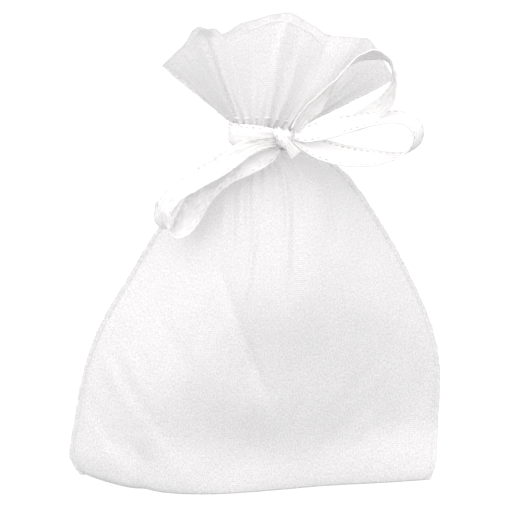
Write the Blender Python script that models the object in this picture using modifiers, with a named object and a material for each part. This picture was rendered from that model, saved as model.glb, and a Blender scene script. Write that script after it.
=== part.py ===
"""Drawstring gift pouch: a folded strip of sheer cloth, gathered at the neck and tied with a ribbon bow.

It stands on its flat base at z = 0 with its front to -Y. Sizes here are in millimetres, and placed() turns
them into metres. Cloth and ribbon are thicker than the real ones, so that each piece is a solid.
"""

import math

import bmesh
import bpy
import numpy as np
from mathutils import Vector

MM = 0.001
FINE_STEPS = 16  # points of a smooth curve between two of its own

# driving dimensions
CLOTH = 0.8  # thickness of a cloth panel
GAP = 0.3  # clearance between neighbours
RIBBON_WIDTH = 6.0
RIBBON_THICK = 0.8
THREAD_RADIUS = 0.25
SEAM_WIDTH = 1.4
SEAM_THICK = 0.6
EDGE_Y = CLOTH + GAP / 2  # how far from the middle plane a panel's side edges lie

# the closed pouch below the neck: height, left edge, right edge, half depth
BODY_ROWS = (
    (0.0, -45.0, 45.3, 16.8),
    (1.6, -47.1, 46.4, 17.2),
    (6.0, -48.0, 47.0, 17.4),
    (12.0, -47.2, 47.4, 17.4),
    (22.0, -45.4, 47.8, 17.2),
    (32.0, -43.0, 47.5, 16.6),
    (42.0, -39.0, 45.1, 15.7),
    (52.0, -33.2, 40.9, 14.4),
    (62.0, -27.3, 35.8, 12.8),
    (71.0, -21.6, 30.5, 10.9),
    (79.0, -16.4, 25.0, 9.0),
    (84.6, -11.4, 19.6, 7.7),
    (87.6, -7.6, 13.2, 6.9),
    (89.0, -5.9, 10.1, 6.4),
)
PANEL_LEVELS, PANEL_COLUMNS = 22, 24
BODY_SKEW = 0.32  # how far the front's fullness leans to the left at the base
SKEW_HEIGHT = 70  # where the lean has died out
SHOULDER_HEIGHT = 80  # above it the section is squarer, to meet the oval neck
SHOULDER_POWER = 0.7

# the gathered neck
NECK_X = 2.1
NECK_HALF_WIDTH = 7.8
NECK_HALF_DEPTH = 6.2
NECK_WALL = 2.6  # thickness of the bunched pleats
NECK_BOTTOM = 89.3
NECK_TOP = 97.4
PLEATS = 9  # on each half of the neck
PLEAT_HEIGHT = 0.25
PLEAT_STEPS = 8  # outline points on each pleat
OVAL_POINTS = 48
STITCH_HEIGHTS = {"channel_stitching_lower": 90.0, "channel_stitching_upper": 97.1}

# the ruffle above the neck: the mouth's edge from left to right as x, half depth, z
HEADER_BOTTOM = 97.8
HEADER_LEVELS, HEADER_COLUMNS = 8, 28
FLARE_POWER = 0.9  # below 1, the ruffle opens faster near the neck
FRONT_MOUTH = (
    (-22.9, 0.0, 110.2),
    (-20.6, 2.4, 113.4),
    (-17.2, 4.0, 117.6),
    (-14.4, 5.2, 121.0),
    (-11.5, 5.4, 121.3),
    (-7.5, 4.6, 118.4),
    (-3.0, 5.0, 119.4),
    (2.0, 5.6, 121.6),
    (7.6, 5.9, 122.6),
    (12.4, 5.6, 120.6),
    (17.4, 4.8, 116.8),
    (22.5, 4.4, 117.6),
    (28.0, 3.4, 117.2),
    (31.5, 1.8, 113.2),
    (35.2, 0.0, 106.8),
)
BACK_MOUTH = (
    (-22.9, 0.0, 110.2),
    (-18.4, 3.2, 114.2),
    (-12.6, 5.0, 116.6),
    (-7.6, 6.0, 117.6),
    (-3.0, 7.0, 119.6),
    (2.0, 7.4, 121.0),
    (8.2, 7.6, 122.2),
    (13.4, 7.2, 120.0),
    (19.0, 6.2, 117.2),
    (24.0, 5.4, 116.4),
    (29.0, 3.6, 113.8),
    (35.2, 0.0, 106.8),
)
HEM_RADIUS = 0.4
HEM_GAP = 0.5  # enough to clear the edge where it is steep

# the ribbon and its bow
BAND_MIDDLE = 93.5
BAND_THICK = 0.6
BAND_CLEARANCE = 0.45
KNOT_CENTRE = (7.8, -11.6, 94.0)
KNOT_SIZE = (5.2, 6.0, 6.2)
BLOCK_BEVEL = 0.28  # share of a soft block's least size
LOOP_Y = -12.6  # the middle of the loops' width
LOOP_POINTS = 36
# each loop's route as x, z: out of the knot, round the turn and back to it
LOOP_ROUTES = {
    "upper_right_loop": (
        (11.0, 97.6), (12.6, 99.6), (14.6, 101.8), (17.4, 105.2), (20.6, 109.3), (23.8, 112.8), (27.2, 115.2),
        (30.6, 115.9), (33.6, 114.6), (35.1, 111.8), (35.3, 108.6), (34.4, 105.2), (31.6, 102.3), (26.0, 100.3),
        (19.2, 98.6), (14.0, 97.1), (11.0, 96.3),
    ),
    "lower_right_loop": (
        (11.0, 94.9), (13.6, 95.5), (20.1, 97.1), (26.9, 98.7), (33.5, 99.8), (38.0, 99.6), (40.8, 97.8),
        (41.7, 95.3), (40.9, 92.6), (38.4, 90.6), (34.4, 89.6), (29.4, 89.3), (23.1, 89.9), (17.4, 91.2),
        (13.6, 92.5), (11.0, 93.5),
    ),
    "left_loop": (
        (4.7, 94.4), (1.6, 93.6), (-3.0, 92.0), (-6.6, 89.7), (-9.9, 87.3), (-14.6, 84.8), (-19.8, 81.4),
        (-23.4, 76.6), (-23.4, 71.4), (-20.2, 69.2), (-17.2, 71.2), (-14.6, 74.6), (-13.0, 78.0),
        (-10.8, 81.2), (-6.3, 84.5), (-1.0, 87.0), (2.6, 89.2), (4.7, 91.2),
    ),
}
END_SIZE = (2.4, 1.4, 4.8)
END_CENTRE = (9.2, -16.5, 92.0)
END_TILT = math.radians(-38)

ORGANZA = ("organza", (0.90, 0.90, 0.89), 0.55)
RIBBON = ("satin_ribbon", (0.96, 0.96, 0.95), 0.35)
THREAD = ("sewing_thread", (0.93, 0.93, 0.92), 0.60)


def placed(x, y, z):
    return Vector((x, y, z)) * MM


def smooth(points, count):
    """count points along a Catmull-Rom curve through points, evenly spread along its length."""
    given = np.array(points, float)
    ends = np.vstack([2 * given[0] - given[1], given, 2 * given[-1] - given[-2]])
    fine = []
    for before, start, end, after in zip(ends, ends[1:], ends[2:], ends[3:]):
        for t in np.linspace(0, 1, FINE_STEPS, endpoint=False):
            fine.append(
                0.5
                * (
                    2 * start
                    + (end - before) * t
                    + (2 * before - 5 * start + 4 * end - after) * t**2
                    + (3 * start - before - 3 * end + after) * t**3
                )
            )
    fine = np.array(fine + [given[-1]])
    run = np.concatenate([[0], np.cumsum(np.linalg.norm(np.diff(fine, axis=0), axis=1))])
    at = np.linspace(0, run[-1], count)
    return np.column_stack([np.interp(at, run, column) for column in fine.T])


def material(name, colour, roughness):
    made = bpy.data.materials.get(name)
    if made is None:
        made = bpy.data.materials.new(name)
        made.use_nodes = True
        shader = made.node_tree.nodes["Principled BSDF"]
        shader.inputs["Base Color"].default_value = (*colour, 1)
        shader.inputs["Roughness"].default_value = roughness
        shader.inputs["Metallic"].default_value = 0
    return made


def new_object(name, data, look):
    obj = bpy.data.objects.new(name, data)
    data.materials.append(material(*look))
    parts.objects.link(obj)
    return obj


def sheet(name, rows, look):
    """A thin solid from rows of points that go left to right, bottom to top, as seen from outside."""
    mesh = bpy.data.meshes.new(name)
    bm = bmesh.new()
    grid = [[bm.verts.new(placed(*point)) for point in row] for row in rows]
    for lower, upper in zip(grid, grid[1:]):
        for i in range(len(lower) - 1):
            bm.faces.new((lower[i], lower[i + 1], upper[i + 1], upper[i]))
    bm.to_mesh(mesh)
    bm.free()
    mesh.shade_smooth()
    obj = new_object(name, mesh, look)
    wall = obj.modifiers.new("thickness", "SOLIDIFY")
    wall.thickness = CLOTH * MM
    wall.offset = -1
    wall.use_even_offset = True
    return obj


def tube(name, points, radius, look, cyclic=False):
    """A thread or an edge roll along points."""
    curve = bpy.data.curves.new(name, "CURVE")
    curve.dimensions = "3D"
    curve.bevel_depth = radius * MM
    curve.bevel_resolution = 2
    curve.use_fill_caps = True
    spline = curve.splines.new("POLY")
    spline.points.add(len(points) - 1)
    for target, point in zip(spline.points, points):
        target.co = (*placed(*point), 1)
    spline.use_cyclic_u = cyclic
    return new_object(name, curve, look)


def outline(name, points, thick, look):
    """A flat outline of x, z points, thick along Y, in the plane of its own origin."""
    curve = bpy.data.curves.new(name, "CURVE")
    curve.dimensions = "2D"
    curve.fill_mode = "BOTH"
    curve.extrude = thick / 2 * MM
    spline = curve.splines.new("POLY")
    spline.points.add(len(points) - 1)
    for target, (x, z) in zip(spline.points, points):
        target.co = (x * MM, z * MM, 0, 1)
    spline.use_cyclic_u = True
    obj = new_object(name, curve, look)
    obj.rotation_euler.x = math.pi / 2
    return obj


def strip_outline(points, low, high):
    """The outline of a strip beside points, from low to high along the left-hand normal of the route."""
    route = np.array(points, float)
    along = np.gradient(route, axis=0)
    along /= np.linalg.norm(along, axis=1)[:, None]
    normal = np.column_stack([-along[:, 1], along[:, 0]])
    return [*(route + normal * low), *(route + normal * high)[::-1]]


def body_row(height, left, right, depth, side):
    """One level of a panel, from left to right; side is -1 at the front and 1 at the back."""
    skew = BODY_SKEW * max(0.0, 1 - height / SKEW_HEIGHT)
    power = 1.0 if height < SHOULDER_HEIGHT else SHOULDER_POWER
    row = []
    for share in np.linspace(-1, 1, PANEL_COLUMNS + 1):
        x = (left + right) / 2 + (right - left) / 2 * share
        lean = share + skew * (1 - share**2)
        bulge = (1 - lean**2) ** power
        row.append((x, side * (EDGE_Y + (depth - EDGE_Y) * bulge), height))
    return row


def panel(name, side):
    """Half of the pouch below the neck: its half of the folded base, then the wall up to the channel."""
    levels = smooth(BODY_ROWS, PANEL_LEVELS)
    rows = [body_row(*level, side) for level in levels]
    fold = [(x, side * GAP / 2, 0.0) for x, _, _ in rows[0]]
    rows = [fold, *rows]
    if side > 0:
        rows = [row[::-1] for row in rows]
    sheet(name, rows, ORGANZA)


def side_seam(name, column, outward):
    """The sewn edge beside both panels; outward is -1 on the left and 1 on the right."""
    levels = smooth(BODY_ROWS, PANEL_LEVELS)[:-1]
    edge = [(level[column], level[0]) for level in levels]
    strip = strip_outline(edge, -outward * GAP, -outward * (GAP + SEAM_WIDTH))
    outline(name, [(x, max(z, GAP)) for x, z in strip], SEAM_THICK, THREAD)


def neck_outline(grow, start, end, count, pleated):
    """x, y points on the neck's oval from angle start to end, grow millimetres outside it."""
    points = []
    for angle in np.linspace(start, end, count):
        ridge = PLEAT_HEIGHT * math.cos(2 * PLEATS * (angle - start)) if pleated else 0
        x = NECK_X + (NECK_HALF_WIDTH + grow + ridge) * math.cos(angle)
        points.append((x, (NECK_HALF_DEPTH + grow + ridge) * math.sin(angle)))
    return points


def neck_ring(grow):
    """The whole plain oval, grow millimetres outside the neck."""
    return neck_outline(grow, 0, 2 * math.pi, OVAL_POINTS + 1, False)[:-1]


def upright(name, points, low, high, look):
    """A flat outline of x, y points raised from low to high."""
    curve = bpy.data.curves.new(name, "CURVE")
    curve.dimensions = "2D"
    curve.fill_mode = "BOTH"
    curve.extrude = (high - low) / 2 * MM
    for ring in points:
        spline = curve.splines.new("POLY")
        spline.points.add(len(ring) - 1)
        for target, (x, y) in zip(spline.points, ring):
            target.co = (x * MM, y * MM, 0, 1)
        spline.use_cyclic_u = True
    obj = new_object(name, curve, look)
    obj.location.z = (low + high) / 2 * MM
    return obj


def casing(name, start):
    """Half of the gathered channel: a pleated outside round a clear way into the pouch."""
    inset = math.asin(GAP / 2 / (NECK_HALF_DEPTH - NECK_WALL))
    first, last = start + inset, start + math.pi - inset
    outer = neck_outline(-PLEAT_HEIGHT, first, last, PLEAT_STEPS * PLEATS + 1, True)
    inner = neck_outline(-NECK_WALL, first, last, OVAL_POINTS // 2 + 1, False)
    upright(name, [outer + inner[::-1]], NECK_BOTTOM, NECK_TOP, ORGANZA)


def stitching(name, height):
    """The ring of thread that sews one edge of the channel."""
    ring = neck_ring(GAP / 2 + THREAD_RADIUS)
    tube(name, [(x, y, height) for x, y in ring], THREAD_RADIUS, THREAD, cyclic=True)


def header_rows(mouth, side):
    """Rows of a ruffle's outside, from the neck's oval to the mouth's edge."""
    edge = smooth(mouth, HEADER_COLUMNS + 1)
    rows = []
    for share in np.linspace(0, 1, HEADER_LEVELS):
        flare = share**FLARE_POWER
        row = []
        for step, (x, depth, z) in enumerate(edge):
            angle = math.pi * (1 - step / HEADER_COLUMNS)
            low_x = NECK_X + NECK_HALF_WIDTH * math.cos(angle)
            low_y = EDGE_Y + (NECK_HALF_DEPTH - EDGE_Y) * math.sin(angle)
            deep = low_y + (EDGE_Y + depth - low_y) * share
            height = HEADER_BOTTOM + (z - HEADER_BOTTOM) * share
            row.append((low_x + (x - low_x) * flare, side * deep, height))
        rows.append(row)
    return rows


def header(name, hem_name, mouth, side):
    """One half of the ruffle above the channel, and the hem along its top edge."""
    rows = header_rows(mouth, side)
    sheet(name, rows if side < 0 else [row[::-1] for row in rows], ORGANZA)
    middle = CLOTH / 2
    hem = [(x, y - side * middle, z + HEM_GAP + HEM_RADIUS) for x, y, z in rows[-1][1:-1]]
    tube(hem_name, hem, HEM_RADIUS, THREAD)


def header_seam(name, column, outward):
    """The side seam where it runs on up the edge of the ruffle."""
    edge = [(row[column][0], row[column][2]) for row in header_rows(FRONT_MOUTH, -1)[1:]]
    strip = strip_outline(edge, -outward * GAP, -outward * (GAP + SEAM_WIDTH))
    outline(name, strip, SEAM_THICK, THREAD)


def neck_ribbon():
    """The ribbon round the outside of the gathered channel."""
    inner = neck_ring(BAND_CLEARANCE)
    outer = neck_ring(BAND_CLEARANCE + BAND_THICK)
    half = RIBBON_WIDTH / 2
    upright("neck_ribbon", [outer, inner], BAND_MIDDLE - half, BAND_MIDDLE + half, RIBBON)


def rounded_block(name, centre, size, look):
    """A soft block with rounded edges."""
    mesh = bpy.data.meshes.new(name)
    bm = bmesh.new()
    bmesh.ops.create_cube(bm, size=1)
    bmesh.ops.scale(bm, vec=Vector(size) * MM, verts=bm.verts)
    offset = min(size) * BLOCK_BEVEL * MM
    bmesh.ops.bevel(bm, geom=bm.edges[:], offset=offset, segments=3, profile=0.5, affect="EDGES")
    bm.to_mesh(mesh)
    bm.free()
    mesh.shade_smooth()
    obj = new_object(name, mesh, look)
    obj.location = placed(*centre)
    return obj


def loop(name, route):
    """A loop of the bow: the ribbon on edge along its route, open at the knot."""
    root = ((route[0][0] + route[-1][0]) / 2, (route[0][1] + route[-1][1]) / 2)
    points = smooth(route, LOOP_POINTS) - np.array(root)
    half = RIBBON_THICK / 2
    obj = outline(name, strip_outline(points, -half, half), RIBBON_WIDTH, RIBBON)
    obj.location = placed(root[0], LOOP_Y, root[1])
    return obj


for old in list(bpy.data.objects):
    bpy.data.objects.remove(old)
parts = bpy.data.collections.new("drawstring_gift_pouch")
bpy.context.scene.collection.children.link(parts)

panel("front_panel", -1)
panel("back_panel", 1)
side_seam("left_side_seam", 1, -1)
side_seam("right_side_seam", 2, 1)
casing("front_casing", math.pi)
casing("back_casing", 0)
for row_name, row_height in STITCH_HEIGHTS.items():
    stitching(row_name, row_height)
header("front_header", "front_mouth_hem", FRONT_MOUTH, -1)
header("back_header", "back_mouth_hem", BACK_MOUTH, 1)
header_seam("left_header_seam", 0, -1)
header_seam("right_header_seam", -1, 1)
neck_ribbon()
rounded_block("bow_knot", KNOT_CENTRE, KNOT_SIZE, RIBBON)
ribbon_end = rounded_block("ribbon_end", END_CENTRE, END_SIZE, RIBBON)
ribbon_end.rotation_euler.y = END_TILT
for loop_name, loop_route in LOOP_ROUTES.items():
    loop(loop_name, loop_route)
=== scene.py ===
"""The looks of the drawstring gift pouch: sheer organza gathered at the neck and tied with a satin bow.

Lengths are in millimetres and become metres in metres(). The front faces -Y, as in the CAD frame.
"""

import math

import bmesh
import bpy
import numpy as np
from mathutils import Matrix, Vector


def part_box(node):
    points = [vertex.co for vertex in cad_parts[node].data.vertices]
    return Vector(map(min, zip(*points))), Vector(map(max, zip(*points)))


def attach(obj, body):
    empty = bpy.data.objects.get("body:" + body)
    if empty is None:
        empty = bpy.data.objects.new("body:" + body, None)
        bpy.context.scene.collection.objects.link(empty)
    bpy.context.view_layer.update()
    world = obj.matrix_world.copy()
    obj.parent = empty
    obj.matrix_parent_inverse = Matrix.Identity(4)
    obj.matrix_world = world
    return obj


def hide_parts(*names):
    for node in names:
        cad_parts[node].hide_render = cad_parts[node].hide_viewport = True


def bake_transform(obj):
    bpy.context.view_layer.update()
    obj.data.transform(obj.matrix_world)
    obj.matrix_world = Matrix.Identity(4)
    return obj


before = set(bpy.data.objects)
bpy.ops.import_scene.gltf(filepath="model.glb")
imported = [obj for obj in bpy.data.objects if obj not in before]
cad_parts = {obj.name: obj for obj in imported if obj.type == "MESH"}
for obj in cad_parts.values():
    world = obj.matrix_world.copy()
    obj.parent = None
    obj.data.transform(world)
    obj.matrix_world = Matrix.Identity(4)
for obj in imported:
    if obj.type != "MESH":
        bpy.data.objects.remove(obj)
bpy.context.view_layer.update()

MM = 0.001
rng = np.random.default_rng(7)

# ---------------------------------------------------------------- the cloth's sizes

# the pouch below the neck, as in the CAD panels: height, left edge, right edge, half depth
BODY_ROWS = (
    (0.0, -45.0, 45.3, 16.8),
    (1.6, -47.1, 46.4, 17.2),
    (6.0, -48.0, 47.0, 17.4),
    (12.0, -47.2, 47.4, 17.4),
    (22.0, -45.4, 47.8, 17.2),
    (32.0, -43.0, 47.5, 16.6),
    (42.0, -39.0, 45.1, 15.7),
    (52.0, -33.2, 40.9, 14.4),
    (62.0, -27.3, 35.8, 12.8),
    (71.0, -21.6, 30.5, 11.0),
    (79.0, -16.4, 25.0, 9.2),
    (84.6, -11.4, 19.6, 8.0),
    (87.6, -7.6, 13.2, 7.4),
    (89.6, -5.6, 9.8, 6.6),
)
BODY_SKEW = 0.32  # how far left of the middle the base is fullest, as a share of its half width
SKEW_TOP = 70.0  # the height at which the skew has died out
ROUNDING_START = 66.0  # the height from which the flat sides close in to the round neck
CORNER_FORWARD = 4.5  # how far the base's right corner lies in front of the left one
CORNER_TOP = 16.0  # the height at which that has died out
EDGE_Y = 0.12  # half the gap between the two cloths at their side seams
FOLD_Y = 0.02  # and half the gap at the fold under the base
FLOOR_GAP = 0.05  # the least height of the cloth above the floor
EDGE_STRIP = 0.03  # the share of the width next to each seam where the relief dies out
CLOTH_WIDTH = 100.0
RUFFLE_LENGTH = 27.0  # of the ruffle alone, which sets the size of its grain
# the cloth's grid: columns across it, and rows in each stretch from the fold under the base to the mouth
COLUMNS = 260
BASE_ROWS, BODY_LEVELS, NECK_LEVELS, RUFFLE_LEVELS = 14, 168, 22, 78
NECK_X, NECK_HALF_WIDTH, NECK_HALF_DEPTH = 2.1, 7.5, 5.9
NECK_BOTTOM, NECK_TOP = 89.6, 95.6
NECK_DROP = 1.8  # how much lower the gathers end on the right
PLEATS = 13  # in each cloth at the neck
PLEAT_DEPTH, PLEAT_SWELL = 0.25, 0.95  # at the neck's ends, and what its middle adds
HEM_RADIUS = 0.15

# broad swells and hollows: rise, x and its spread, height and its spread
BELLY = (5.0, 13, 30, 54, 18)
BACK_HOLLOW = (-2.0, -6, 18, 26, 14)
# the slack strip along the front's base: its top in the middle, how much higher it is at each end, its tuck
STRIP_TOP, STRIP_RIGHT, STRIP_LEFT, STRIP_TUCK = 11.5, 4.0, 2.5, 2.2
# the long creases: x at a height, lean, depth and width
FRONT_CREASE = (-4.0, 47, -0.34, 0.9, 1.5)
BACK_CREASE = (10.0, 40, 0.3, 1.0, 1.8)

# the mouth's edge from left to right: x, y, z
FRONT_MOUTH = (
    (-23.8, -0.1, 110.7), (-21.2, -2.0, 113.6), (-17.5, -4.2, 117.6), (-16.0, -5.4, 120.4),
    (-14.3, -7.2, 122.6), (-12.4, -8.0, 123.1), (-10.1, -7.2, 122.2), (-8.2, -4.0, 119.6),
    (-6.8, -2.4, 118.1), (-3.7, -3.4, 119.5), (-0.1, -5.5, 121.4), (4.0, -6.6, 123.1),
    (7.6, -7.0, 123.6), (11.6, -6.0, 121.9), (14.2, -4.6, 120.1), (16.2, -2.8, 117.8),
    (17.6, -2.0, 116.7), (19.6, -3.2, 118.8), (23.1, -4.8, 119.2), (26.5, -5.2, 119.0),
    (29.0, -4.4, 118.6), (31.2, -3.0, 115.8), (33.5, -1.5, 111.7), (36.2, -0.1, 107.2),
)
BACK_MOUTH = (
    (-23.8, 0.1, 110.7), (-18.6, 3.4, 114.8), (-12.6, 5.2, 117.2), (-7.6, 6.0, 118.3),
    (-3.8, 8.0, 120.3), (-0.1, 8.5, 121.3), (4.0, 9.0, 122.5), (8.2, 9.4, 123.1),
    (10.3, 9.0, 122.8), (13.4, 9.0, 120.9), (16.0, 7.5, 119.6), (19.1, 5.5, 117.9),
    (23.5, 6.6, 117.4), (28.5, 5.0, 115.4), (32.6, 2.4, 111.6), (36.2, 0.1, 107.2),
)

# long folds below the neck: u across the cloth, rise, width, and the height at which it has died out
FRONT_FOLDS = (
    (0.565, 1.35, 0.75, 54), (0.21, 0.40, 1.2, 58), (0.27, 0.50, 1.3, 50), (0.315, 0.35, 0.9, 62),
    (0.355, 0.70, 1.1, 54), (0.385, 0.45, 0.8, 66), (0.418, 1.00, 0.8, 44), (0.475, 0.50, 0.9, 64),
    (0.515, 0.25, 0.8, 68), (0.61, 0.22, 1.1, 74), (0.67, 0.20, 1.3, 76), (0.75, 0.22, 1.4, 74),
    (0.85, 0.22, 1.4, 78), (0.13, 0.30, 1.3, 72),
)
BACK_FOLDS = (
    (0.12, 0.6, 1.2, 60), (0.20, 0.9, 1.3, 48), (0.27, 0.7, 1.0, 56), (0.34, 1.1, 1.3, 40),
    (0.41, 0.7, 1.0, 58), (0.47, 0.9, 1.1, 46), (0.53, 0.7, 1.0, 60), (0.59, 1.1, 1.2, 42),
    (0.66, 0.7, 1.1, 56), (0.73, 0.8, 1.3, 50), (0.81, 0.6, 1.2, 58), (0.89, 0.5, 1.3, 66),
)
# folds of the ruffle: x at the mouth, rise, width at the neck and at the mouth, and how far up it runs
FRONT_RUFFLE_FOLDS = (
    (7.9, 0.85, 0.8, 1.3, 1.2), (4.6, 0.5, 0.9, 2.0, 0.8), (10.2, -0.5, 0.6, 1.0, 0.95),
    (12.9, 0.4, 0.7, 1.6, 0.9), (-1.5, 0.35, 0.8, 2.0, 0.5), (-13.8, -0.9, 0.8, 1.5, 1.1),
    (-11.0, 0.55, 0.7, 1.4, 1.0), (15.5, 0.25, 0.8, 1.6, 0.5), (22.5, 0.30, 0.8, 2.2, 0.6),
    (27.5, 0.25, 0.8, 2.0, 0.5),
)
BACK_RUFFLE_FOLDS = (
    (-17.0, 0.4, 0.6, 1.4, 0.6), (-9.0, -0.5, 0.6, 1.2, 1.0), (-3.0, 0.6, 0.7, 1.6, 0.9),
    (3.5, -0.4, 0.6, 1.2, 0.8), (7.0, 0.7, 0.7, 1.6, 1.1), (12.0, -0.4, 0.6, 1.2, 0.8),
    (15.5, 0.5, 0.6, 1.5, 0.7), (21.0, -0.5, 0.6, 1.3, 1.0), (26.0, 0.5, 0.6, 1.6, 0.8),
)
RUFFLE_FOLD_SCALE = 1.5
LIP_X, LIP_WIDTH, LIP_OUT, LIP_DOWN = -12.2, 3.0, 2.2, 0.9  # the curled top left corner of the front ruffle

# random layers of the relief: height, size across and size along the cloth
CRISP_LAYERS = ((1.0, 1.5, 9), (0.7, 2.6, 15))
CRISP_HEIGHT = 0.11
FINE_LAYERS = ((0.05, 1.1, 1.8), (0.09, 5, 7))
SLACK_LAYERS = ((0.7, 17, 24), (0.25, 8, 12))
DRAG_HEIGHT, DRAG_WIDTH, DRAG_LENGTH = 0.22, 4.5, 30  # slanting drag lines towards the base's corners

# ---------------------------------------------------------------- the sewing's sizes

SIDE_SEAM_WIDTH, HEADER_SEAM_WIDTH = 1.3, 0.3
SEAM_THICK = 0.07  # half its thickness
SEAM_TAPER = 4.0  # the length over which the upper end narrows
SEAM_INSET = 0.3  # how far inside the cloth's edge the stitches run
SEAM_LIFT = 0.25  # how far the stitches stand in front of the cloth's edge
SEAM_FLOOR = 0.3  # the seam's least height
# stitches: spacing, half length and radius
SEAM_STITCH = (1.4, 0.45, 0.13)
CHANNEL_STITCH = (3.4, 1.0, 0.24)
CHANNEL_LIFT = 0.2  # how far the channel's stitches stand off the cloth
# the rows of the cloth that they follow: the lowest of the neck, and one a little way up the ruffle
CHANNEL_ROWS = {
    "channel_stitching_lower": BASE_ROWS + BODY_LEVELS,
    "channel_stitching_upper": -RUFFLE_LEVELS + 8,
}

# ---------------------------------------------------------------- the ribbon's sizes

RIBBON = 6.0
RIBBON_THICK = 0.16
SELVAGE = 0.5  # width of the thicker woven edge
SELVAGE_THICK = 0.07  # what it adds to each face
PICOT_PITCH = 1.7
PICOT_REACH = 0.16  # how far the scalloped edge stands out
ACROSS = np.linspace(-1, 1, 21)  # places across a ribbon
STRAP_CUP = 0.3  # how far a loop's middle stands out from its edges
PLEAT_WAVES = 3.5  # half waves across a gathered ribbon, from its middle to each edge
BAND_Z = 93.4
BAND_GAP = 1.15  # from the neck to the ribbon round it
BAND_CUP, BAND_HUG = 0.38, 0.65  # how far its middle stands out, and its edges lie in towards the neck
BAND_PLEAT, BAND_NARROWS = 0.24, 0.30  # its pleats near the knot, and the share of its width lost there
KNOT_ANGLE = math.atan2(-1, 0.85)  # where round the neck the knot sits

# each loop from the knot and back: x, z, y, the turn of its width in degrees, its share of the full width
LOOPS = {
    "upper_right_loop": (
        (10.2, 96.6, -13.4, -50, 0.42),
        (12.2, 99.2, -13.6, -50, 0.72),
        (14.6, 101.8, -13.7, -48, 0.95),
        (17.4, 105.2, -13.6, -30, 1.0),
        (20.6, 109.3, -13.3, -12, 1.0),
        (23.8, 112.8, -13.0, -8, 1.0),
        (27.2, 115.2, -12.8, -24, 1.0),
        (30.6, 115.9, -12.6, -34, 1.0),
        (33.8, 114.4, -12.4, -16, 1.0),
        (35.3, 111.6, -12.2, -6, 1.0),
        (35.5, 108.6, -12.0, -8, 1.0),
        (34.5, 105.2, -11.8, -20, 1.0),
        (31.6, 101.6, -11.4, -34, 1.0),
        (26.0, 98.0, -10.6, -40, 0.9),
        (19.2, 96.2, -10.4, 4, 0.8),
        (13.6, 95.2, -11.2, 8, 0.6),
        (10.2, 95.2, -11.8, 8, 0.4),
    ),
    "lower_right_loop": (
        (10.2, 95.0, -12.8, 40, 0.42),
        (13.4, 95.5, -12.9, 50, 0.8),
        (20.1, 97.2, -12.9, 42, 1.0),
        (26.9, 98.8, -12.8, 28, 1.0),
        (33.5, 99.8, -12.7, 18, 1.0),
        (38.0, 99.6, -12.7, 20, 1.0),
        (40.8, 97.8, -12.8, 27, 1.0),
        (41.7, 95.3, -12.9, 30, 1.0),
        (40.9, 92.6, -13.0, 24, 1.0),
        (38.4, 90.6, -13.1, 10, 1.0),
        (34.4, 89.6, -13.1, -10, 1.0),
        (29.4, 89.3, -13.1, -32, 1.0),
        (23.1, 89.9, -13.1, -48, 1.0),
        (17.4, 91.4, -13.1, -56, 0.95),
        (13.2, 93.1, -13.0, -56, 0.75),
        (10.2, 94.2, -12.9, -50, 0.42),
    ),
    "left_loop": (
        (5.6, 93.6, -13.6, -66, 0.40),
        (1.6, 93.0, -13.6, -70, 0.52),
        (-3.0, 91.2, -13.6, -66, 0.75),
        (-6.6, 88.9, -13.4, -60, 0.95),
        (-9.9, 86.6, -13.3, -54, 1.0),
        (-14.6, 83.8, -13.2, -46, 1.0),
        (-19.8, 80.4, -13.0, -44, 1.0),
        (-23.2, 76.0, -12.8, -46, 1.0),
        (-23.2, 71.2, -12.6, -32, 1.0),
        (-20.6, 69.5, -12.2, 20, 1.0),
        (-17.9, 71.8, -11.9, 62, 1.0),
        (-15.8, 75.2, -11.8, 80, 1.0),
        (-14.0, 78.6, -11.8, 80, 1.0),
        (-11.4, 81.6, -11.8, 64, 1.0),
        (-6.3, 85.4, -11.8, 56, 1.0),
        (-1.0, 87.9, -12.0, 66, 1.0),
        (3.6, 90.2, -12.2, 64, 0.8),
        (6.2, 92.0, -12.4, 45, 0.42),
    ),
}
LOOP_BODIES = {
    "upper_right_loop": "loop_upper_right",
    "lower_right_loop": "loop_lower_right",
    "left_loop": "loop_left",
}
LOOP_WRINKLES = {"upper_right_loop": 0.2, "lower_right_loop": 0.06, "left_loop": 0.32}
CREASED_ABOVE = 0.1  # a loop whose wrinkles are higher than this gets the creased satin

# the short folded end beside the knot, as a route like the loops'
TAIL = (
    (5.4, 96.6, -12.8, 40, 0.40),
    (6.0, 96.2, -14.4, 50, 0.40),
    (7.4, 94.8, -15.3, 62, 0.40),
    (8.8, 93.0, -15.8, 66, 0.36),
    (9.8, 91.6, -16.0, 68, 0.42),
    (10.6, 90.6, -16.0, 68, 0.5),
)
TAIL_WRINKLES = 0.1

# the knot's core, in shares of the CAD knot's box
KNOT_SCALE = 0.78
KNOT_PINCH = 0.16  # how much smaller it is at both ends of its axis
KNOT_BOXY = 0.72  # 1 is an ellipsoid, and less is boxier
KNOT_AXIS = (0.80, 0.60)  # in x and z, with the creases one after another along it
KNOT_CREASES = ((0.08, 9, 1.4, 0.6), (0.035, 19, 2.0, 0.0))  # depth, how close, slope in y, shift

# ---------------------------------------------------------------- the view and the light

CAMERA_ELEVATION = math.radians(14)
CAMERA_DISTANCE = 760.0
VIEW_SPAN = 134.2  # width of the view at the pouch
CAMERA_TARGET = (0.4, 0.0, 60.2)

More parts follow.
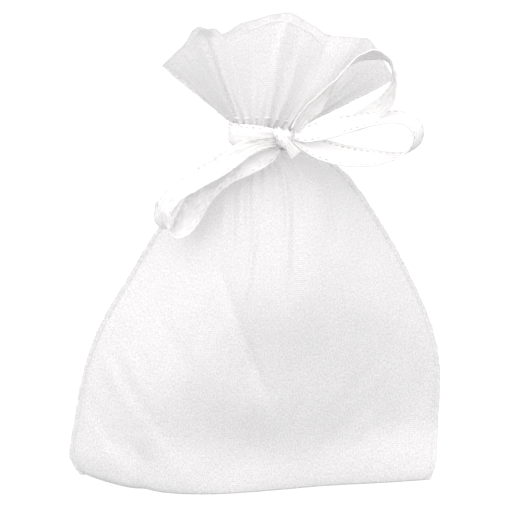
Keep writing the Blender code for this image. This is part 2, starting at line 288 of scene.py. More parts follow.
# the rest of this section is in metres
FLOOR_SIZE, FLOOR_GREY = 8, (0.15, 0.15, 0.15)
FLOOR_WHITE, FLOOR_LIGHT = 0.92, 0.42  # the floor as the camera sees it, and the light that it sends up
HORIZON, OVERHEAD = (0.645, 0.635, 0.64), (0.98, 0.97, 0.97)
SIDES_SHARE, BEHIND_SHARE = 0.6, 0.6  # how fast the studio brightens to the sides and behind, against upwards
STUDIO_RAMP = (0.05, 0.75)  # where that brightening starts and where it is complete
LAMP = (1.0, 0.985, 0.98)
LIT = (0.0, 0.0, 0.06)  # where every light points
# name, place, size, power, and whether it casts a shadow
LIGHTS = (
    ("key", (-0.65, -0.60, 0.90), 2.2, 9.5, True),
    ("soft_key", (-0.65, -0.60, 0.90), 2.2, 9.0, False),
    ("fill", (0.90, -0.85, 0.35), 1.6, 4.8, False),
)

# ---------------------------------------------------------------- the materials

WARP_PITCH, WEFT_PITCH = 0.50, 0.54
ORGANZA_DARK, ORGANZA_LIGHT = (0.755, 0.75, 0.76), (0.975, 0.97, 0.97)
ORGANZA_SOLID, THREAD_SOLID = 0.88, 0.03  # how opaque the cloth is, and what a thread's crown adds
# how many lumps of noise there are to a millimetre: across, along
YARN_SCALE = (2.2, 0.05, 1)
PICK_SCALE = (0.05, 2.2, 1)
FUZZ_SCALE = (2.6, 1.5, 1)
CRINKLE_SCALE = (0.5, 0.09, 1)
CLOUD_SCALE = (0.06, 0.05, 1)

SMOOTH_SATIN, CREASED_SATIN = (0.0004, 0.5), (0.0014, 0.2)  # creases in metres, and the darkness of the painted shade in the picot's gaps
RIB_PITCH = 0.33
SATIN_DARK, SATIN_LIGHT = (0.55, 0.55, 0.55), (0.985, 0.98, 0.98)
FLOAT_SCALE = (2.6, 0.25, 1)
CREASE_SCALE = (0.9, 0.30, 1)
# the next sets how unevenly the painted shade in the picot's gaps is spread along the ribbon
PICOT_SHADE_SCALE = (0.5, 0.16, 1)
PICOT_INSET, PICOT_TOOTH, PICOT_ROOT = 0.42, 0.75, 0.30  # the plain edge, and the teeth's slope and root

THREAD_DARK, THREAD_LIGHT = (0.8, 0.8, 0.79), (0.96, 0.96, 0.95)
TWIST_SCALE = (2600, 2600, 6000)  # lumps to a metre

# ---------------------------------------------------------------- curves and random fields


def metres(points):
    return np.asarray(points, float) * MM


def smooth(points, count):
    """count points along a Catmull-Rom curve through points, evenly spread along its length."""
    given = np.array(points, float)
    ends = np.vstack([2 * given[0] - given[1], given, 2 * given[-1] - given[-2]])
    t = np.linspace(0, 1, 24, endpoint=False)[:, None]
    fine = []
    for before, start, end, after in zip(ends, ends[1:], ends[2:], ends[3:]):
        slope = end - before
        bend = 2 * before - 5 * start + 4 * end - after
        twist = 3 * start - before - 3 * end + after
        fine.append(0.5 * (2 * start + slope * t + bend * t**2 + twist * t**3))
    fine = np.vstack([*fine, given[-1:]])
    run = run_length(fine)
    at = np.linspace(0, run[-1], count)
    return np.column_stack([np.interp(at, run, column) for column in fine.T])


def run_length(line):
    return np.concatenate([[0], np.cumsum(np.linalg.norm(np.diff(line, axis=0), axis=1))])


def unit(vectors):
    return vectors / np.maximum(np.linalg.norm(vectors, axis=-1, keepdims=True), 1e-9)


def ramp(value, low, high):
    """0 below low, 1 above high, smooth between."""
    t = np.clip((value - low) / (high - low), 0, 1)
    return t * t * (3 - 2 * t)


def between(value, start, full, fading, end):
    """1 from full to fading, 0 before start and after end."""
    return ramp(value, start, full) * ramp(end - value, 0, end - fading)


def hump(distance, width):
    """A rounded crest of height 1."""
    return 1 / (1 + (distance / width) ** 2) ** 2


def bell(value, middle, spread, power=2):
    """1 at the middle, dying out on both sides. A higher power has a flatter top."""
    return np.exp(-(((value - middle) / spread) ** power))


def swell(form, x, h):
    rise, at_x, spread_x, at_h, spread_h = form
    return rise * bell(h, at_h, spread_h) * bell(x, at_x, spread_x)


def grain(across, up, size_across, size_up):
    """A smooth random field from -1 to 1 whose lumps measure size_across by size_up."""
    across, up = np.broadcast_arrays(across / size_across, up / size_up)
    across, up = across - across.min(), up - up.min()
    knots = rng.uniform(-1, 1, (int(up.max()) + 3, int(across.max()) + 3))
    column, row = across.astype(int), up.astype(int)
    s, t = ramp(across - column, 0, 1), ramp(up - row, 0, 1)
    low = knots[row, column] * (1 - s) + knots[row, column + 1] * s
    high = knots[row + 1, column] * (1 - s) + knots[row + 1, column + 1] * s
    return low * (1 - t) + high * t


def layered(across, up, layers):
    """The sum of several grains, each a height, a size across and a size along."""
    return sum(height * grain(across, up, *sizes) for height, *sizes in layers)


# ---------------------------------------------------------------- mesh helpers


def linked(name, mesh):
    obj = bpy.data.objects.new(name, mesh)
    bpy.context.scene.collection.objects.link(obj)
    return obj


def grid_object(name, points, uv):
    """A sheet from points[row, column], with uv of the same shape."""
    rows, columns = points.shape[:2]
    mesh = bpy.data.meshes.new(name)
    index = np.arange(rows * columns).reshape(rows, columns)
    corners = (index[:-1, :-1], index[:-1, 1:], index[1:, 1:], index[1:, :-1])
    faces = np.stack(corners, axis=-1).reshape(-1, 4)
    mesh.from_pydata(metres(points).reshape(-1, 3).tolist(), [], faces.tolist())
    layer = mesh.uv_layers.new(name="cloth")
    layer.data.foreach_set("uv", uv.reshape(-1, 2)[faces.ravel()].astype(np.float32).ravel())
    mesh.shade_smooth()
    return linked(name, mesh)


def swept(name, line, across, face, profile, cyclic=False):
    """A solid swept along line, with UVs of (across, length).

    profile holds (across, out) points: one section for the whole line, or one for each place on it.
    """
    line, profile = np.asarray(line, float), np.asarray(profile, float)
    if profile.ndim == 2:
        profile = np.repeat(profile[None], len(line), axis=0)
    rings = line[:, None] + profile[..., :1] * across[:, None] + profile[..., 1:] * face[:, None]
    length = run_length(np.vstack([line, line[:1]]))
    count, sides = rings.shape[:2]
    mesh = bpy.data.meshes.new(name)
    bm = bmesh.new()
    layer = bm.loops.layers.uv.new("cloth")
    verts = [[bm.verts.new(metres(p)) for p in ring] for ring in rings]
    for i in range(count if cyclic else count - 1):
        j = (i + 1) % count
        for k in range(sides):
            m = (k + 1) % sides
            made = bm.faces.new((verts[i][k], verts[i][m], verts[j][m], verts[j][k]))
            made.smooth = True
            for corner, (ring, side) in zip(made.loops, ((i, k), (i, m), (i + 1, m), (i + 1, k))):
                corner[layer].uv = (profile[ring % count, side, 0], length[ring])
    if not cyclic:
        bm.faces.new(verts[0][::-1])
        bm.faces.new(verts[-1])
    bmesh.ops.recalc_face_normals(bm, faces=bm.faces[:])
    bm.to_mesh(mesh)
    bm.free()
    return linked(name, mesh)


def thin_section(reach, rise, thick):
    """The closed section of a thin strip: out along one face and back along the other."""
    front = np.stack([reach, rise + thick], axis=-1)
    back = np.stack([reach, rise - thick], axis=-1)[:, ::-1]
    return np.concatenate([front, back], axis=1)


def stitches(name, spots, ways, size, radius):
    """Sewn stitches: one short rounded thread at each spot, lying along its way."""
    mesh = bpy.data.meshes.new(name)
    bm = bmesh.new()
    stretch = Matrix.Diagonal((1, 1, size / radius, 1))
    for spot, way in zip(spots, ways):
        turned = Vector(way).to_track_quat("Z", "Y").to_matrix().to_4x4()
        made = bmesh.ops.create_uvsphere(bm, u_segments=8, v_segments=6, radius=radius * MM)
        place = Matrix.Translation(Vector(metres(spot))) @ turned @ stretch
        bmesh.ops.transform(bm, matrix=place, verts=made["verts"])
    for face in bm.faces:
        face.smooth = True
    bm.to_mesh(mesh)
    bm.free()
    return linked(name, mesh)


def outward_normals(points, side):
    normals = unit(np.cross(np.gradient(points, axis=1), np.gradient(points, axis=0)))
    return normals * np.sign(side * normals[..., 1].mean())


# ---------------------------------------------------------------- camera, light and floor


def add_camera():
    data = bpy.data.cameras.new("camera")
    data.lens = data.sensor_width * CAMERA_DISTANCE / VIEW_SPAN
    data.clip_end = 10
    camera = linked("camera", data)
    back = Vector((0, -math.cos(CAMERA_ELEVATION), math.sin(CAMERA_ELEVATION)))
    camera.location = (Vector(CAMERA_TARGET) + back * CAMERA_DISTANCE) * MM
    camera.rotation_euler = (-back).to_track_quat("-Z", "Y").to_euler()
    bpy.context.scene.camera = camera


def add_floor():
    bpy.ops.mesh.primitive_plane_add(size=FLOOR_SIZE, location=(0, 0, 0))
    floor = bpy.context.object
    floor.name = "floor"
    made, tree, shader = new_material("floor_white")
    shader.inputs["Base Color"].default_value = (*FLOOR_GREY, 1)
    shader.inputs["Roughness"].default_value = 0.9
    shader.inputs["Specular IOR Level"].default_value = 0.0
    shader.inputs["Emission Color"].default_value = (1, 1, 1, 1)
    seen = tree.nodes.new("ShaderNodeLightPath").outputs["Is Camera Ray"]
    glow = scaled(tree, seen, FLOOR_WHITE - FLOOR_LIGHT, FLOOR_LIGHT)
    tree.links.new(glow, shader.inputs["Emission Strength"])
    floor.data.materials.append(made)


def add_light(name, place, size, power, shadow):
    data = bpy.data.lights.new(name, "AREA")
    data.size, data.energy, data.color = size, power, LAMP
    data.use_shadow = shadow
    light = linked(name, data)
    light.location = place
    light.rotation_euler = (Vector(LIT) - Vector(place)).to_track_quat("-Z", "Y").to_euler()


def add_world():
    """A pale studio, brighter overhead, behind and at the sides than in front."""
    world = bpy.data.worlds.new("studio")
    bpy.context.scene.world = world
    world.use_nodes = True
    tree = world.node_tree
    parts = tree.nodes.new("ShaderNodeSeparateXYZ")
    tree.links.new(tree.nodes.new("ShaderNodeTexCoord").outputs["Generated"], parts.inputs[0])
    sideways = maths(tree, "ABSOLUTE", parts.outputs["X"])
    behind = maths(tree, "MAXIMUM", parts.outputs["Y"], 0.0)
    bright = scaled(tree, sideways, SIDES_SHARE, parts.outputs["Z"])
    bright = scaled(tree, behind, BEHIND_SHARE, bright)
    colour = coloured(tree, bright, HORIZON, OVERHEAD, *STUDIO_RAMP)
    tree.links.new(colour, tree.nodes["Background"].inputs["Color"])


# ---------------------------------------------------------------- node helpers


def new_material(name):
    made = bpy.data.materials.new(name)
    made.use_nodes = True
    return made, made.node_tree, made.node_tree.nodes["Principled BSDF"]


def maths(tree, operation, *values):
    node = tree.nodes.new("ShaderNodeMath")
    node.operation = operation
    for socket, value in zip(node.inputs, values):
        if isinstance(value, (int, float)):
            socket.default_value = value
        else:
            tree.links.new(value, socket)
    return node.outputs[0]


def scaled(tree, value, factor, offset):
    return maths(tree, "MULTIPLY_ADD", value, factor, offset)


def mixed(tree, shade, layers):
    """Adds each (value, share) to shade."""
    for value, share in layers:
        shade = scaled(tree, value, share, shade)
    return shade


def noise(tree, vector, scale, detail, roughness=0.5):
    """Noise over vector, which is first scaled on each axis."""
    place = tree.nodes.new("ShaderNodeMapping")
    place.inputs["Scale"].default_value = scale
    tree.links.new(vector, place.inputs["Vector"])
    node = tree.nodes.new("ShaderNodeTexNoise")
    node.inputs["Scale"].default_value = 1.0
    node.inputs["Detail"].default_value = detail
    node.inputs["Roughness"].default_value = roughness
    tree.links.new(place.outputs["Vector"], node.inputs["Vector"])
    return node.outputs["Fac"]


def coloured(tree, factor, dark, light, low, high):
    node = tree.nodes.new("ShaderNodeValToRGB")
    for element, position, colour in zip(node.color_ramp.elements, (low, high), (dark, light)):
        element.position = position
        element.color = (*colour, 1)
    tree.links.new(factor, node.inputs["Fac"])
    return node.outputs["Color"]


def bumped(tree, shader, heights):
    """Chains bumps of (height, strength, distance in metres) into the shader's normal."""
    normal = None
    for height, strength, distance in heights:
        node = tree.nodes.new("ShaderNodeBump")
        node.inputs["Strength"].default_value = strength
        node.inputs["Distance"].default_value = distance
        tree.links.new(height, node.inputs["Height"])
        if normal is not None:
            tree.links.new(normal, node.inputs["Normal"])
        normal = node.outputs["Normal"]
    tree.links.new(normal, shader.inputs["Normal"])


def cloth_place(tree):
    """The flat cloth's own millimetres: across it and along it, and both as one vector."""
    uv = tree.nodes.new("ShaderNodeUVMap")
    uv.uv_map = "cloth"
    parts = tree.nodes.new("ShaderNodeSeparateXYZ")
    tree.links.new(uv.outputs["UV"], parts.inputs[0])
    return parts.outputs[0], parts.outputs[1], uv.outputs["UV"]


def wave(tree, value, pitch):
    return maths(tree, "SINE", maths(tree, "MULTIPLY", value, 2 * math.pi / pitch))


# ---------------------------------------------------------------- materials


def organza_material():
    """Sheer plain weave: a fine grid of shiny threads, thick and thin yarns, and a crisp crinkle."""
    made, tree, shader = new_material("organza")
    across, along, place = cloth_place(tree)
    warp = wave(tree, across, WARP_PITCH)
    weft = wave(tree, along, WEFT_PITCH)
    weave = maths(tree, "MAXIMUM", warp, weft)
    yarns = noise(tree, place, YARN_SCALE, 3, 0.7)
    picks = noise(tree, place, PICK_SCALE, 3, 0.7)
    fuzz = noise(tree, place, FUZZ_SCALE, 3, 0.75)
    crinkle = noise(tree, place, CRINKLE_SCALE, 4, 0.6)
    cloud = noise(tree, place, CLOUD_SCALE, 3, 0.5)
    # weft lines show in some patches of the cloth only
    patch = maths(tree, "MAXIMUM", scaled(tree, cloud, 5.0, -2.5), 0.0)
    lines = maths(tree, "MULTIPLY", weft, maths(tree, "MINIMUM", patch, 1.0))
    shares = ((weave, 0.01), (yarns, 0.2), (picks, 0.1), (cloud, 0.12), (lines, 0.10))
    shade = mixed(tree, scaled(tree, fuzz, 1.9, -0.65), shares)
    colour = coloured(tree, shade, ORGANZA_DARK, ORGANZA_LIGHT, 0.28, 0.74)
    tree.links.new(colour, shader.inputs["Base Color"])
    tree.links.new(scaled(tree, weave, THREAD_SOLID, ORGANZA_SOLID), shader.inputs["Alpha"])
    tree.links.new(scaled(tree, yarns, 0.3, 0.3), shader.inputs["Roughness"])
    shader.inputs["Sheen Weight"].default_value = 0.45
    shader.inputs["Sheen Roughness"].default_value = 0.4
    bumps = ((crinkle, 0.7, 0.0005), (yarns, 0.5, 0.0001), (fuzz, 0.6, 0.00012), (weave, 0.15, 0.00006))
    bumped(tree, shader, bumps)
    return made


def picot_teeth(tree, across, along):
    """1 on the small stitched teeth along each edge of the ribbon, 0 elsewhere."""
    inset = maths(tree, "SUBTRACT", RIBBON / 2, maths(tree, "ABSOLUTE", across))
    saw = maths(tree, "PINGPONG", along, PICOT_PITCH / 2)
    inside = maths(tree, "LESS_THAN", inset, scaled(tree, saw, PICOT_TOOTH, PICOT_ROOT))
    beyond = maths(tree, "GREATER_THAN", inset, PICOT_INSET)
    return maths(tree, "MULTIPLY", inside, beyond)


def satin_material(name, crease_depth, picot_shade_depth):
    """Satin ribbon: a glossy face with fine floats and creases, and a picot line along each edge whose teeth
    carry painted shade from the gaps between them, uneven along the ribbon.
    """
    made, tree, shader = new_material(name)
    across, along, place = cloth_place(tree)
    picot = picot_teeth(tree, across, along)
    floats = noise(tree, place, FLOAT_SCALE, 3, 0.65)
    creases = noise(tree, place, CREASE_SCALE, 4, 0.6)
    ribs = wave(tree, along, RIB_PITCH)
    # painted shade in the gaps between the picot's teeth, deeper in some places than in others
    picot_shade_unevenness = scaled(tree, noise(tree, place, PICOT_SHADE_SCALE, 2), 3.2, -1.0)
    painted_picot_shade = maths(tree, "MULTIPLY", picot, picot_shade_unevenness)
    shade = mixed(tree, 0.70, ((floats, 0.3), (painted_picot_shade, -picot_shade_depth)))
    colour = coloured(tree, shade, SATIN_DARK, SATIN_LIGHT, 0.3, 0.85)
    tree.links.new(colour, shader.inputs["Base Color"])
    tree.links.new(scaled(tree, floats, 0.25, 0.14), shader.inputs["Roughness"])
    shader.inputs["Anisotropic"].default_value = 0.5
    shader.inputs["Sheen Weight"].default_value = 0.1
    fine_bumps = ((floats, 0.5, 0.0001), (ribs, 0.2, 0.00003), (picot, -0.6, 0.00015))
    bumped(tree, shader, ((creases, 0.8, crease_depth), *fine_bumps))
    return made


def thread_material():
    """Twisted polyester sewing thread."""
    made, tree, shader = new_material("sewing_thread")
    place = tree.nodes.new("ShaderNodeTexCoord").outputs["Object"]
    twist = noise(tree, place, TWIST_SCALE, 2)
    colour = coloured(tree, twist, THREAD_DARK, THREAD_LIGHT, 0.3, 0.7)
    tree.links.new(colour, shader.inputs["Base Color"])
    bumped(tree, shader, ((twist, 0.4, 0.00008),))
    shader.inputs["Roughness"].default_value = 0.5
    shader.inputs["Sheen Weight"].default_value = 0.2
    return made


# ---------------------------------------------------------------- the cloth


def corner_forward(share):
    """How far forward the base lies at each share of its half width."""
    return CORNER_FORWARD * ramp(share, 0.2, 1.0)


def body_shape(side, u):
    """The smooth form below the neck, as points[row, column]."""
    outline = smooth(BODY_ROWS, 500)
    h = np.linspace(0, NECK_BOTTOM, BODY_LEVELS)[:, None]
    left, right, depth = (np.interp(h, outline[:, 0], outline[:, k]) for k in (1, 2, 3))
    rounding = ramp(h, ROUNDING_START, NECK_BOTTOM)
    share = (2 * u - 1) * (1 - rounding) - np.cos(math.pi * u) * rounding
    lean = share + BODY_SKEW * np.clip(1 - h / SKEW_TOP, 0, None) * (1 - share**2)
    fullness = np.clip(1 - lean**2, 0, None) ** (1 - 0.5 * rounding)
    x = (left + right) / 2 + (right - left) / 2 * share
    slack = front_slack(x, h) if side < 0 else back_slack(x, h)
    y = EDGE_Y + (depth - EDGE_Y) * fullness + fullness * slack
    forward = corner_forward(share) * ramp(CORNER_TOP - h, 0, CORNER_TOP)
    return np.stack([x, side * y - forward, np.broadcast_to(h, x.shape)], axis=-1)


def front_slack(x, h):
    """How far the front stands out from its plain form: a belly over a slack, flattened strip at the base."""
    strip = STRIP_TOP + STRIP_RIGHT * ramp(x, 16, 38) + STRIP_LEFT * ramp(-x, 8, 34)
    tuck = -STRIP_TUCK * bell(h, strip, 9.5) * bell(x, 11, 29, 4)
    crease_x, crease_h, lean, depth, width = FRONT_CREASE
    left_of_crease = crease_x + lean * (h - crease_h) - x
    crease = -depth * hump(left_of_crease, width) * between(h, 20, 36, 50, 64)
    shelf = 0.9 * ramp(left_of_crease, -1.5, 3.5) + 1.2 * ramp(left_of_crease, 0.0, 15.0)
    shelf = shelf * between(h, 12, 34, 50, 74)
    corner_tuck = -1.8 * hump(x + 29.0, 3.2) * ramp(15 - h, 0, 8)
    return swell(BELLY, x, h) + tuck + crease + shelf + corner_tuck


def back_slack(x, h):
    """The same for the back: a shallow hollow and one crease."""
    crease_x, crease_h, lean, depth, width = BACK_CREASE
    beside_crease = x - crease_x - lean * (h - crease_h)
    crease = -depth * hump(beside_crease, width) * between(h, 20, 34, 46, 62)
    return swell(BACK_HOLLOW, x, h) + crease


def neck_section(side, u):
    """The gathered neck seen from above, as x and y."""
    x = NECK_X - NECK_HALF_WIDTH * np.cos(math.pi * u)
    y = side * (EDGE_Y + (NECK_HALF_DEPTH - EDGE_Y) * np.sin(math.pi * u))
    return x, y


def neck_drop(x):
    return NECK_DROP * ramp(x, 3.0, 10.0)


def ruffle_shape(side, u, mouth):
    """The ruffle from the top of the neck to the mouth, flaring as it opens."""
    edge = smooth(mouth, COLUMNS + 1)[None]
    x, y = neck_section(side, u)
    low = np.stack([x, y, NECK_TOP - neck_drop(x)], axis=-1)
    v = np.linspace(0, 1, RUFFLE_LEVELS)[:, None, None]
    sag = 0.33 * (1 - (2 * u[..., None] - 1) ** 4)
    flare = v + sag * v * (1 - v)
    points = low + (edge - low) * flare
    points[..., 2] = (low + (edge - low) * v)[..., 2]
    return points, v[..., 0], edge[0]


def gathers(u):
    """The neck's close pleats: sharp crests with wide hollows between them, unevenly spaced."""
    uneven = 0.35 * np.sin(2 * math.pi * (1.7 * u + 0.2)) + 0.2 * np.sin(2 * math.pi * 4.3 * u)
    return 1 - 2 * np.abs(np.sin(math.pi * (PLEATS * u + uneven)))


def body_relief(u, points, folds):
    """The heights of the pleats, folds, crinkles and slack on a cloth's body."""
    h = points[..., 2]
    width = np.linalg.norm(np.diff(points, axis=1), axis=-1).sum(axis=1)[:, None]
    below = NECK_BOTTOM - h
    relief = gathers(u) * (0.30 * np.exp(-below / 3.5) + 0.05 * np.exp(-below / 9))
    for at, rise, size, until in folds:
        drift = at + 0.006 * np.sin(h / 7 + 40 * at)
        fade = ramp(h, until - 6, until + 22) * (0.35 + 0.65 * ramp(below, 0, 8))
        relief = relief + rise * fade * hump((u - drift) * width, size + 0.03 * below)
    across, up = u * CLOTH_WIDTH, h
    where_crisp = (0.3 + 0.7 * ramp(h, 34, 64)) * (1 - 0.75 * ramp(u, 0.56, 0.7)) * ramp(below, 0, 14)
    relief = relief + CRISP_HEIGHT * layered(across, up, CRISP_LAYERS) * where_crisp
    relief = relief + layered(across, up, FINE_LAYERS)
    slack = layered(across, up, SLACK_LAYERS)
    down_left = grain(across + up, up - across, DRAG_WIDTH, DRAG_LENGTH) * ramp(0.42 - u, 0, 0.2)
    down_right = grain(across - up, up + across, DRAG_WIDTH, DRAG_LENGTH) * ramp(u, 0.62, 0.8)
    slack = slack + DRAG_HEIGHT * (down_left + down_right) * ramp(55 - h, 0, 20)
    return relief + slack * ramp(h, 2, 12) * ramp(below, 0, 25)


def ruffle_relief(u, v, edge, folds):
    """The heights of the pleats and folds on a ruffle, of which v is 0 at the neck and 1 at the mouth."""
    width = 24 + 52 * v
    relief = 0.22 * gathers(u) * np.exp(-v / 0.10) + 0.30 * gathers(u) * np.exp(-v / 0.35)
    for at, rise, low_size, high_size, reach in folds:
        middle = np.interp(at, edge[:, 0], u[0]) + 0.01 * np.sin(5 * v + at)
        size = low_size + (high_size - low_size) * v
        fade = ramp(reach - v, -0.1, 0.3)
        relief = relief + RUFFLE_FOLD_SCALE * rise * fade * hump((u - middle) * width, size)
    relief = relief - 0.8 * bell(u, 0.62, 0.06) * np.exp(-v / 0.10)
    across, up = u * CLOTH_WIDTH, v * RUFFLE_LENGTH
    crisp = 0.06 * grain(across, up, 1.6, 9) * ramp(v, 0, 0.3)
    fine = 0.04 * grain(across, up, 1.1, 2.2)
    return relief + crisp + fine + 0.45 * grain(across, up, 9, 8) * ramp(v, 0.2, 0.8)


def curled(points, v):
    """Rolls the top left corner of the front ruffle outwards like a lip."""
    amount = ramp(v, 0.86, 1.0) * bell(points[..., 0], LIP_X, LIP_WIDTH)
    points[..., 1] -= LIP_OUT * amount
    points[..., 2] -= LIP_DOWN * amount**2
    return points


def raised(points, side, relief):
    return points + outward_normals(points, side) * relief[..., None]


def neck_rows(side, u, inset):
    """The pleated rows of the channel, from the body up to the ruffle."""
    x, y = neck_section(side, u)
    climb = np.linspace(0, 1, NECK_LEVELS + 2)[1:-1, None]
    bunched = gathers(u) * inset * (PLEAT_DEPTH + PLEAT_SWELL * np.sin(math.pi * climb))
    z = NECK_BOTTOM + (NECK_TOP - neck_drop(x) - NECK_BOTTOM) * climb
    return np.stack(np.broadcast_arrays(x, y + side * bunched, z), axis=-1)


def base_rows(side, u, hem):
    """The underside: rows from the fold under the base out to the body's lowest row."""
    fold = side * FOLD_Y - corner_forward(2 * u - 1)
    base = np.repeat(hem, BASE_ROWS, axis=0)
    base[..., 1] = fold + (hem[..., 1] - fold) * np.linspace(0, 1, BASE_ROWS + 1)[:-1, None]
    return base


def side_cloth(side, mouth, folds, ruffle_folds):
    """The front (-1) or back (1) cloth in one piece, from the fold at the base to the mouth."""
    u = np.linspace(0, 1, COLUMNS + 1)[None]
    inset = np.clip(np.minimum(u, 1 - u) / EDGE_STRIP, 0, 1)
    body = body_shape(side, u)
    body = raised(body, side, body_relief(u, body, folds) * inset)
    ruffle, v, edge = ruffle_shape(side, u, mouth)
    ruffle = raised(ruffle, side, ruffle_relief(u, v, edge, ruffle_folds) * inset)
    if side < 0:
        ruffle = curled(ruffle, v)
    points = np.concatenate([base_rows(side, u, body[:1]), body, neck_rows(side, u, inset), ruffle])
    points[..., 2] = np.maximum(points[..., 2], FLOOR_GAP)
    up = np.linalg.norm(np.diff(points, axis=0), axis=-1).mean(axis=1)
    up = np.concatenate([[0], np.cumsum(up)])[:, None]
    uv = np.stack(np.broadcast_arrays(u * CLOTH_WIDTH, side * up), axis=-1)
    return points, uv


# ---------------------------------------------------------------- ribbon


def ribbon_section(reach, rise):
    """The section of a ribbon, thicker along its selvages."""
    selvage = np.where(np.abs(ACROSS) > 1 - SELVAGE / 3, SELVAGE_THICK, 0.0)
    return thin_section(reach, rise, RIBBON_THICK / 2 + selvage)


def strap(name, route, count, wrinkle, folds=0.5):
    """A satin ribbon along route, which gives x, z, y, the turn of its width and its share of the full width.

    The turn is measured from +Y towards the side that lies on the left of the ribbon's travel as seen from
    the front. Where the share is less than 1 the ribbon is pleated along its length.
    """
    keys = np.array(route, float)[:, (0, 2, 1, 3, 4)]
    keys[:, 3] = np.radians(keys[:, 3]) * RIBBON
    keys[:, 4] *= RIBBON
    spread = smooth(keys, count)
    line, angle, half = spread[:, :3], spread[:, 3] / RIBBON, spread[:, 4] / 2
    along = unit(np.gradient(line, axis=0))
    back = unit(np.array([0.0, 1.0, 0.0]) - along * along[:, 1:2])
    across = back * np.cos(angle)[:, None] + np.cross(along, back) * np.sin(angle)[:, None]
    length = run_length(line)
    gathered = (1 - half / (RIBBON / 2))[:, None]
    rise = STRAP_CUP * (1 - ACROSS**2) + folds * gathered * np.cos(PLEAT_WAVES * math.pi * ACROSS)
    rise = rise + wrinkle * grain(ACROSS * 3, length[:, None], 1.4, 1.9)
    scallop = np.abs(np.sin(math.pi * length / PICOT_PITCH))[:, None] * (np.abs(ACROSS) > 0.99)
    reach = half[:, None] * ACROSS + PICOT_REACH * scallop * np.sign(ACROSS)
    obj = swept(name, line, across, np.cross(along, across), ribbon_section(reach, rise))
    spread_uv(obj)
    return obj, line


def spread_uv(obj):
    """Gives a pleated ribbon's UVs its full width, so its edge pattern stays on its edges."""
    layer = obj.data.uv_layers["cloth"]
    places = np.concatenate([ACROSS, ACROSS[::-1]]) * RIBBON / 2
    for polygon in obj.data.polygons:
        for index in polygon.loop_indices:
            vertex = obj.data.loops[index].vertex_index
            layer.data[index].uv[0] = places[vertex % len(places)]


def neck_band():
    """The ribbon round the neck: full width at the back and left, gathered towards the knot."""
    angle = np.linspace(0, 2 * math.pi, 200, endpoint=False)
    x = NECK_X + (NECK_HALF_WIDTH + BAND_GAP) * np.cos(angle)
    y = (NECK_HALF_DEPTH + BAND_GAP) * np.sin(angle)
    z = BAND_Z - 0.8 * neck_drop(x) + 0.12 * np.sin(3 * angle + 1)
    out = unit(np.column_stack([np.cos(angle) * NECK_HALF_DEPTH, np.sin(angle) * NECK_HALF_WIDTH, 0 * angle]))
    up = np.tile([0.0, 0.0, 1.0], (len(angle), 1))
    away = np.angle(np.exp(1j * (angle - KNOT_ANGLE)))
    near = bell(away, 0, 0.6)[:, None]
    half = RIBBON / 2 * (1 - BAND_NARROWS * near)
    rise = BAND_CUP * (1 - ACROSS**2) - BAND_HUG * np.abs(ACROSS) ** 6
    rise = rise + BAND_PLEAT * near * np.cos(PLEAT_WAVES * math.pi * ACROSS)
    rise = rise + 0.10 * np.sin(7 * angle + 2)[:, None] * (1 - ACROSS**2)
    rise = rise + 0.05 * np.sin(19 * angle[:, None] + 3 * ACROSS)
    section = ribbon_section(half * ACROSS, rise)
    obj = swept("neck_ribbon_band", np.column_stack([x, y, z]), up, out, section, cyclic=True)
    spread_uv(obj)
    return obj


def knot_lump():
    """The knot's core: a soft, boxy lump with creases across it."""
    bpy.ops.mesh.primitive_ico_sphere_add(subdivisions=6, radius=1)
    obj = bpy.context.object
    obj.name = obj.data.name = "bow_knot_core"
    low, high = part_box("bow_knot")
    middle, half = (low + high) / 2, (high - low) / 2
    layer = obj.data.uv_layers.active or obj.data.uv_layers.new(name="cloth")
    layer.name = "cloth"
    for vertex in obj.data.vertices:
        p = vertex.co.copy()
        along = p.x * KNOT_AXIS[0] + p.z * KNOT_AXIS[1]
        size = KNOT_SCALE - KNOT_PINCH * abs(along) ** 1.5
        for depth, close, slope, shift in KNOT_CREASES:
            size += depth * math.sin(close * along + slope * p.y + shift)
        boxed = Vector([math.copysign(abs(c) ** KNOT_BOXY, c) for c in p])
        vertex.co = middle + Vector([boxed[i] * half[i] for i in range(3)]) * size
    obj.data.shade_smooth()
    for loop in obj.data.loops:
        p = obj.data.vertices[loop.vertex_index].co
        layer.data[loop.index].uv = ((p.x - middle.x) / MM * 0.4, (p.z + p.x) / MM)
    return obj


# ---------------------------------------------------------------- sewing


def seam_strip(name, edge, outward, width):
    """The narrow sewn edge outside a seam line, slightly puckered and narrower towards its upper end."""
    line = smooth(edge, 190)
    along = unit(np.gradient(line, axis=0))
    across = unit(np.cross([0.0, 1.0, 0.0], along)) * outward
    length = run_length(line)
    pucker = 0.05 * np.sin(length * 1.1) + 0.04 * np.sin(length * 2.3 + 1)
    pucker = pucker + 0.08 * grain(length, 0 * length, 3, 3)
    taper = 0.2 + 0.8 * ramp(length[-1] - length, 0, SEAM_TAPER)
    steps = np.linspace(-0.25, 1, 8)
    reach = steps * ((width + pucker) * taper)[:, None]
    rise = pucker[:, None] * steps * 1.2
    return swept(name, line, across, np.cross(along, across), thin_section(reach, rise, SEAM_THICK))


def stitches_along(name, line, spacing, size, radius, lift=(0, 0, 0)):
    length = run_length(line)
    at = np.arange(spacing / 2, length[-1], spacing)
    spots = np.column_stack([np.interp(at, length, column) for column in line.T]) + np.array(lift)
    along = unit(np.gradient(line, axis=0))
    ways = np.column_stack([np.interp(at, length, column) for column in along.T])
    return stitches(name, spots, ways, size, radius)


def edge_roll(name, line, radius):
    """The narrow rolled hem along the mouth."""
    along = unit(np.gradient(line, axis=0))
    up = unit(np.array([0.0, 0.0, 1.0]) - along * along[:, 2:])
    out = np.cross(along, up)
    turn = np.linspace(0, 2 * math.pi, 8, endpoint=False)
    profile = radius * np.column_stack([np.cos(turn), np.sin(turn)])
    return swept(name, line, up, out, profile)


# ---------------------------------------------------------------- build


def finished(obj, look):
    obj.data.materials.clear()
    obj.data.materials.append(look)
    return obj


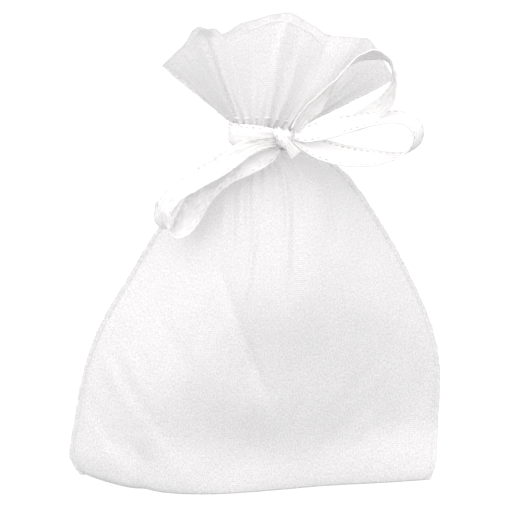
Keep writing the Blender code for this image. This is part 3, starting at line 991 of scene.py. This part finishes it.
def build_loops():
    for node, route in LOOPS.items():
        loop, line = strap(node + "_ribbon", route, 150, LOOP_WRINKLES[node])
        finished(loop, creased_satin if LOOP_WRINKLES[node] > CREASED_ABOVE else satin)
        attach(loop, LOOP_BODIES[node])
        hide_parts(node)


def build_cloth(side, name, mouth, folds, ruffle_folds):
    points, uv = side_cloth(side, mouth, folds, ruffle_folds)
    cloth = finished(grid_object(name + "_cloth", points, uv), organza)
    roll = finished(edge_roll(name + "_mouth_roll", points[-1], HEM_RADIUS), thread)
    for piece in (cloth, roll):
        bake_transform(piece)
    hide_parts(name + "_panel", name + "_casing", name + "_header")
    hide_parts(name + "_mouth_hem")
    return points


def build_seam(node, run, outward, width):
    strip = finished(seam_strip(node + "_allowance", run, outward, width), organza)
    inner = smooth(run - [outward * SEAM_INSET, 0.0, 0.0], 200)
    sewn = stitches_along(node + "_stitches", inner, *SEAM_STITCH, (0, -SEAM_LIFT, 0))
    finished(sewn, thread)
    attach(strip, "pouch")
    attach(sewn, "pouch")
    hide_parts(node)


def build_seams(front):
    body_top = BASE_ROWS + BODY_LEVELS
    for side_name, column, outward in (("left", 0, -1), ("right", -1, 1)):
        edge = front[:, column] + [0, EDGE_Y, 0]
        edge[:, 2] = np.maximum(edge[:, 2], SEAM_FLOOR)
        build_seam(side_name + "_side_seam", edge[BASE_ROWS : body_top - 4 : 8], outward, SIDE_SEAM_WIDTH)
        header = edge[body_top + NECK_LEVELS + 6 :: 6]
        build_seam(side_name + "_header_seam", header, outward, HEADER_SEAM_WIDTH)


def build_ribbon():
    band = finished(neck_band(), satin)
    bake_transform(band)
    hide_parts("neck_ribbon")
    knot = finished(knot_lump(), satin)
    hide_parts("bow_knot")
    tail, _ = strap("ribbon_end_fold", TAIL, 60, TAIL_WRINKLES, folds=0.7)
    finished(tail, satin)
    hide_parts("ribbon_end")
    for piece in (knot, tail):
        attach(piece, "bow")


def build_channel_stitches(front, back):
    for node, row in CHANNEL_ROWS.items():
        ring = np.vstack([front[row], back[row][::-1]])
        out = unit((ring - [NECK_X, 0, 0]) * [1, 1.5, 0])
        line = smooth((ring + out * CHANNEL_LIFT)[::4], 400)
        sewn = finished(stitches_along(node + "_stitches", line, *CHANNEL_STITCH), thread)
        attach(sewn, "pouch")
        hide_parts(node)


add_camera()
organza, thread = organza_material(), thread_material()
satin = satin_material("satin_ribbon", *SMOOTH_SATIN)
creased_satin = satin_material("creased_satin_ribbon", *CREASED_SATIN)
add_floor()
build_loops()
front = build_cloth(-1, "front", FRONT_MOUTH, FRONT_FOLDS, FRONT_RUFFLE_FOLDS)
back = build_cloth(1, "back", BACK_MOUTH, BACK_FOLDS, BACK_RUFFLE_FOLDS)
build_seams(front)
build_ribbon()
build_channel_stitches(front, back)
add_world()
for light in LIGHTS:
    add_light(*light)
bpy.context.scene.view_settings.view_transform = "Standard"
